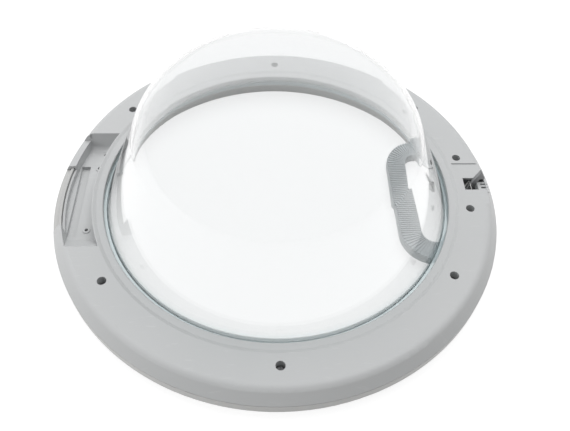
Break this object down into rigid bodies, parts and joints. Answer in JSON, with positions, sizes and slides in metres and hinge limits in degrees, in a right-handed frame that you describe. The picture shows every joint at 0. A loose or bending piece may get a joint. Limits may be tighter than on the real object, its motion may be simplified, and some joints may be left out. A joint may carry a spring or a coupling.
{
  "type": "washing machine door",
  "caption": "Round front-loader washing machine door with a deep glass bowl clamped between two moulded rings, a hinge pocket, and a pull handle that swings a latch hook.",
  "frame": {"origin": "centre of the door's ring on the plane of its front face, which rests on the floor", "axes": "+Z along the door's axis from its front face to the drum side, +X from the hinge pocket to the latch"},
  "size_m": [0.4399, 0.44, 0.1723],
  "materials": {
    "front_plastic": "smooth moulded",
    "rear_plastic": "smooth moulded",
    "bowl_glass": "clear pressed glass",
    "handle_plastic": "satin moulded",
    "hook_metal": "satin",
    "bright_steel": "drawn",
    "screw_steel": "zinc plated"
  },
  "bodies": {
    "frame": {"front_frame": "front_plastic", "rear_frame": "rear_plastic", "glass_bowl": "bowl_glass", "pivot_pin": "bright_steel", "hook_spring": "bright_steel", "handle_spring": "bright_steel", "frame_screws": "screw_steel"},
    "handle": {"pull_handle": "handle_plastic"},
    "hook": {"latch_hook": "hook_metal"}
  },
  "joints": [
    {"name": "handle_pull", "type": "hinge", "parent": "frame", "child": "handle", "pos_m": [0.1975, 0, 0.013], "axis": [0, -1, 0], "range_deg": [0, 12], "stiffness_Nm_per_rad": 0.8, "springref_deg": -28.65, "deforming": ["handle_spring"]},
    {"name": "hook_swing", "type": "hinge", "parent": "frame", "child": "hook", "pos_m": [0.1975, 0, 0.013], "axis": [0, -1, 0], "range_deg": [0, 12], "stiffness_Nm_per_rad": 0.2, "springref_deg": -28.65, "deforming": ["hook_spring"]}
  ],
  "couplings": [
    {"joint": "hook_swing", "follows": "handle_pull", "ratio": 1}
  ]
}
